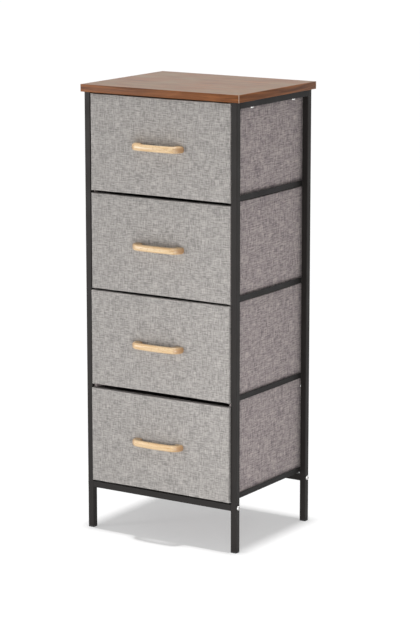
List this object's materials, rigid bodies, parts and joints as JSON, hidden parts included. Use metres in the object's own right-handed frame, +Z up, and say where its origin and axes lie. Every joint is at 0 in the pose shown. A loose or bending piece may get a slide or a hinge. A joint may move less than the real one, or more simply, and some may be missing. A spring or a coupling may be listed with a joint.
{
  "type": "fabric drawer dresser",
  "caption": "Narrow upright chest with sliding grey linen fabric drawers in a black square-tube steel frame, under a walnut-look top board, each drawer with a pale wooden bow handle.",
  "frame": {"origin": "middle of the chest's outline, on the floor under the feet", "axes": "+Z up, +X to the right of a person facing the drawers, -Y towards that person, so the drawers open along -Y"},
  "size_m": [0.42, 0.364, 1.035],
  "materials": {
    "walnut_laminate": "satin",
    "powder_coat": "satin",
    "black_plastic": "matte",
    "zinc_plate": "satin",
    "linen_front": "matte",
    "linen_bin": "matte",
    "fibreboard": "matte",
    "beech": "satin"
  },
  "bodies": {
    "frame": {"top_board": "walnut_laminate", "post_front_left": "powder_coat", "post_front_right": "powder_coat", "post_rear_left": "powder_coat", "post_rear_right": "powder_coat", "top_rail_left": "powder_coat", "top_rail_right": "powder_coat", "cross_rail_front": "powder_coat", "cross_rail_rear": "powder_coat", "runner_1_left": "powder_coat", "runner_1_right": "powder_coat", "runner_2_left": "powder_coat", "runner_2_right": "powder_coat", "runner_3_left": "powder_coat", "runner_3_right": "powder_coat", "runner_4_left": "powder_coat", "runner_4_right": "powder_coat", "foot_front_left": "black_plastic", "foot_front_right": "black_plastic", "foot_rear_left": "black_plastic", "foot_rear_right": "black_plastic", "top_screws": "zinc_plate", "frame_bolts": "zinc_plate", "rail_nuts": "zinc_plate"},
    "drawer_1": {"drawer_1_front": "linen_front", "drawer_1_bin": "linen_bin", "drawer_1_base_board": "fibreboard", "drawer_1_handle": "beech"},
    "drawer_2": {"drawer_2_front": "linen_front", "drawer_2_bin": "linen_bin", "drawer_2_base_board": "fibreboard", "drawer_2_handle": "beech"},
    "drawer_3": {"drawer_3_front": "linen_front", "drawer_3_bin": "linen_bin", "drawer_3_base_board": "fibreboard", "drawer_3_handle": "beech"},
    "drawer_4": {"drawer_4_front": "linen_front", "drawer_4_bin": "linen_bin", "drawer_4_base_board": "fibreboard", "drawer_4_handle": "beech"}
  },
  "joints": [
    {"name": "drawer_1_slide", "type": "slide", "parent": "frame", "child": "drawer_1", "axis": [0, -1, 0], "range_m": [-0.0025, 0.24]},
    {"name": "drawer_2_slide", "type": "slide", "parent": "frame", "child": "drawer_2", "axis": [0, -1, 0], "range_m": [-0.0025, 0.24]},
    {"name": "drawer_3_slide", "type": "slide", "parent": "frame", "child": "drawer_3", "axis": [0, -1, 0], "range_m": [-0.0055, 0.237]},
    {"name": "drawer_4_slide", "type": "slide", "parent": "frame", "child": "drawer_4", "axis": [0, -1, 0], "range_m": [-0.0075, 0.235]}
  ]
}
